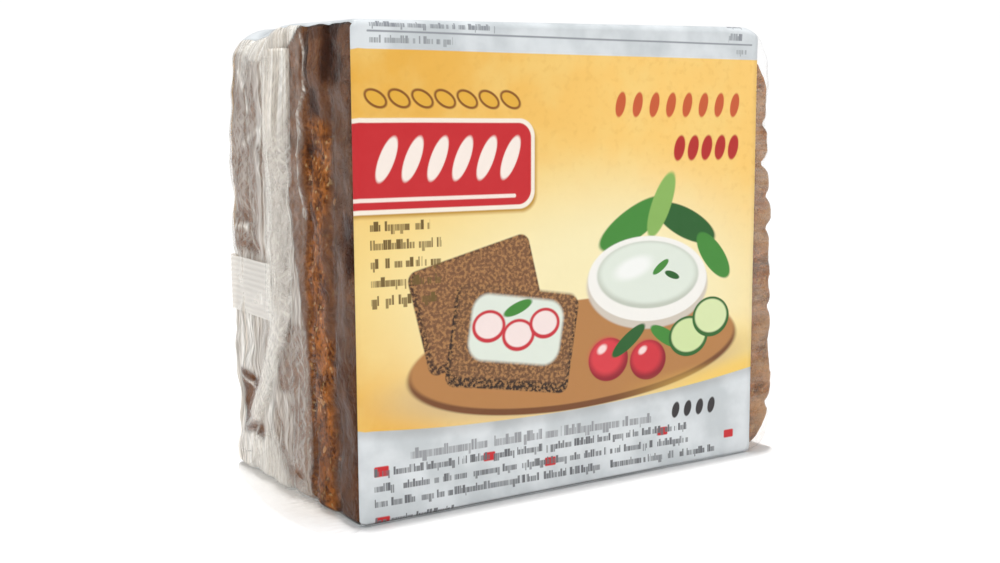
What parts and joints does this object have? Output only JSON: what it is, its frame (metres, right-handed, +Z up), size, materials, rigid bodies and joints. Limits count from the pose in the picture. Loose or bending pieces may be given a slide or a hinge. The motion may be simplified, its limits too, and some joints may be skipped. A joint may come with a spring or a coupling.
{
  "type": "packed sliced bread",
  "caption": "Square slices of dark wholegrain rye bread in a tight film pack with a printed band, clear ends, folded crimped end fins and a long seam across the back.",
  "frame": {"origin": "bottom centre of the bounding box, on the surface that the pack stands on", "axes": "the printed front faces -Y, +X runs along it to the right, +Z up"},
  "size_m": [0.111, 0.0598, 0.09],
  "materials": {
    "printed_film": "glossy opaque print on thin film: golden field, silver-grey strips",
    "clear_film": "thin crumpled clear plastic film with whitish folds",
    "rye_bread": "dark brown moist wholegrain crumb with pale grains"
  },
  "bodies": {
    "root": {"bread_pack": "printed_film"}
  },
  "joints": []
}
